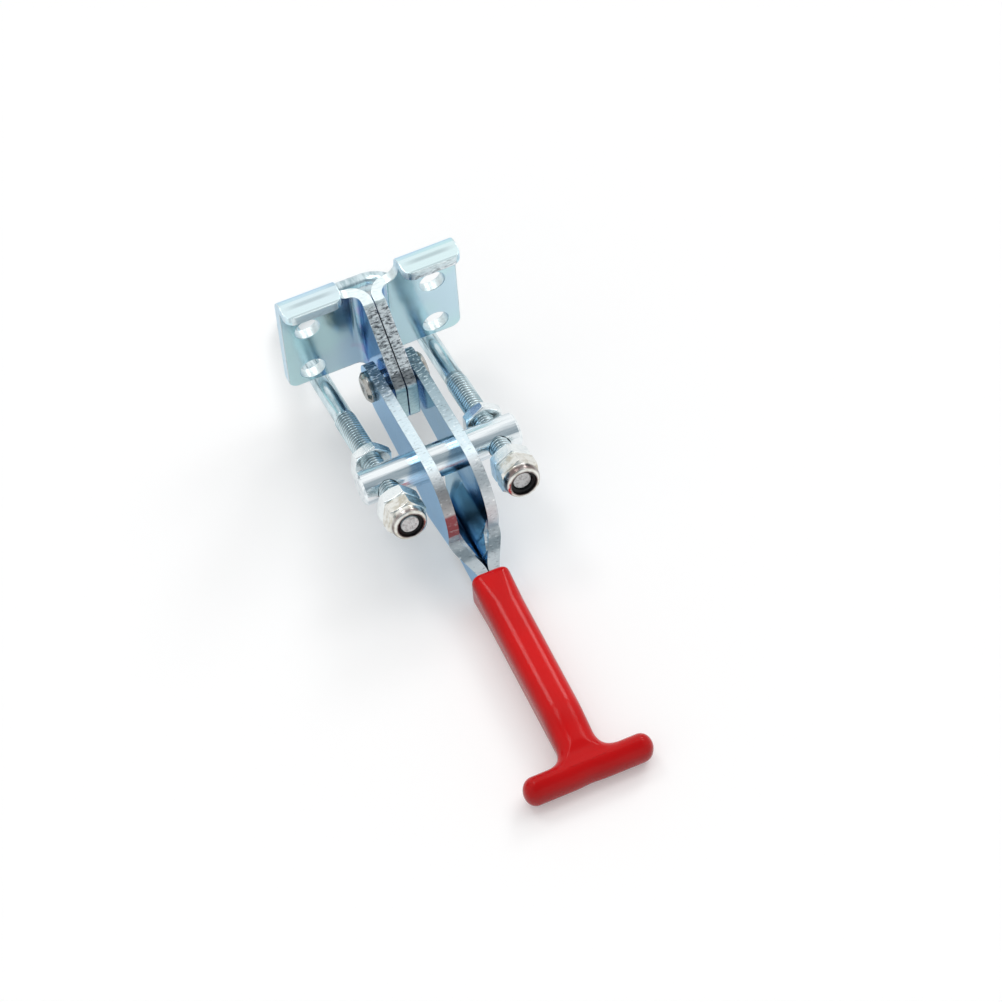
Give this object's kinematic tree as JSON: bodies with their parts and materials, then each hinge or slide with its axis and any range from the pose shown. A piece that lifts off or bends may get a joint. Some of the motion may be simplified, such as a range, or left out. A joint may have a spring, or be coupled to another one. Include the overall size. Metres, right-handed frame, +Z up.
{
  "type": "over centre toggle latch",
  "caption": "Pull-action over-centre toggle latch with a folded mounting flange, a T handle with a dipped vinyl grip and an adjustable U-bolt on a cross trunnion.",
  "frame": {"origin": "centre of the four mounting holes, on the mounting face of the flange", "axes": "+Y into the wall the latch is bolted to, square to the mounting face; +Z up the flange, towards its folded lips; +X along the pivots, to the right of someone who holds the handle"},
  "size_m": [0.049, 0.1717, 0.0508],
  "materials": {
    "bright_zinc": "bright blue-white zinc plate on pressed steel",
    "passivated_steel": "warm yellowish passivated zinc plate",
    "black_nylon": "dark nylon locking ring",
    "red_vinyl": "glossy dipped red vinyl"
  },
  "bodies": {
    "base": {"base_left_half": "bright_zinc", "base_right_half": "bright_zinc"},
    "handle": {"handle_plate_left": "bright_zinc", "handle_plate_right": "bright_zinc", "pivot_rivet": "passivated_steel", "grip": "red_vinyl"},
    "trunnion": {"trunnion": "bright_zinc"},
    "u_bolt": {"u_bolt": "bright_zinc", "stop_nut_left": "bright_zinc", "stop_nut_right": "bright_zinc", "jam_nut_left": "bright_zinc", "jam_nut_right": "bright_zinc", "lock_nut_left": "passivated_steel", "lock_nut_right": "passivated_steel", "nylon_ring_left": "black_nylon", "nylon_ring_right": "black_nylon"}
  },
  "joints": [
    {"name": "handle_pivot", "type": "hinge", "parent": "base", "child": "handle", "pos_m": [0, -0.0165, -0.0062], "axis": [-1, 0, 0], "range_deg": [0, 80]},
    {"name": "trunnion_swivel", "type": "hinge", "parent": "handle", "child": "trunnion", "pos_m": [0, -0.0454, -0.0061], "axis": [-1, 0, 0], "range_deg": [0, 55]},
    {"name": "rod_slide", "type": "slide", "parent": "trunnion", "child": "u_bolt", "axis": [0, 0.9688, -0.2478], "range_m": [-0.001, 0.0042]}
  ]
}
